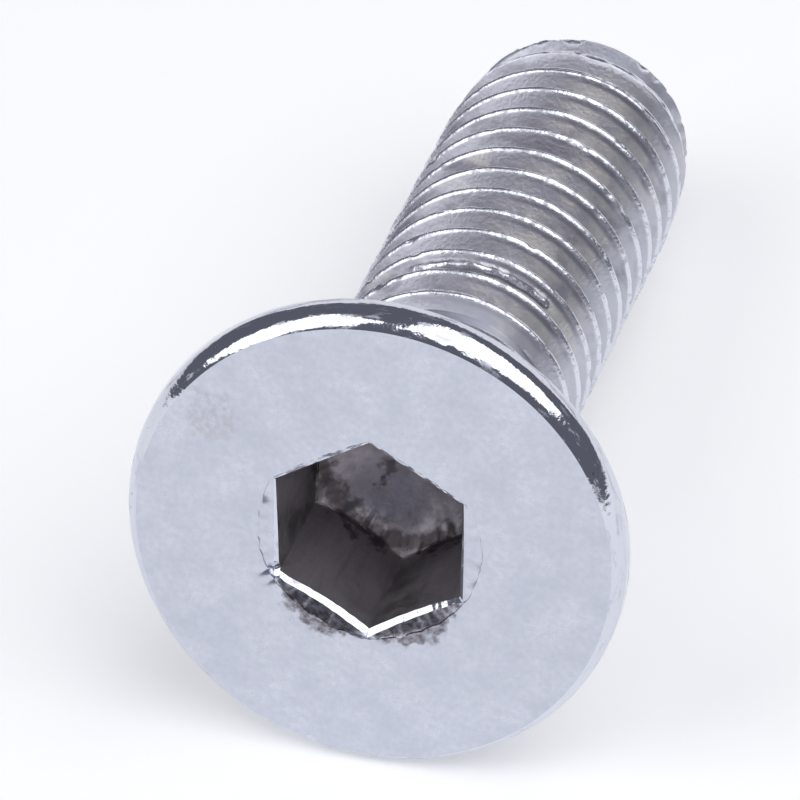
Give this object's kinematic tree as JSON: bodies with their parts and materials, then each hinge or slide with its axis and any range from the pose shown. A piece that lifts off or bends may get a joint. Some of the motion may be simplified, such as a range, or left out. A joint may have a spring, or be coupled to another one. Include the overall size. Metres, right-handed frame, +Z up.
{
  "type": "countersunk socket screw",
  "caption": "Metric countersunk screw with a flat 90-degree conical head, a hexagon socket and a coarse right-hand thread, lying on its side.",
  "frame": {"origin": "the surface it lies on, under the middle of its bounding box", "axes": "+Z up from the surface; the screw's own axis lies in the YZ plane and runs from the head towards +Y, dropping 9.41 degrees towards the tip, because it rests on its head rim and on a crest near the tip"},
  "size_m": [0.0116, 0.021, 0.0115],
  "materials": {
    "stainless_steel": "bright cold-formed stainless steel, satin face, polished rim, rolled thread"
  },
  "bodies": {
    "root": {"screw": "stainless_steel"}
  },
  "joints": []
}
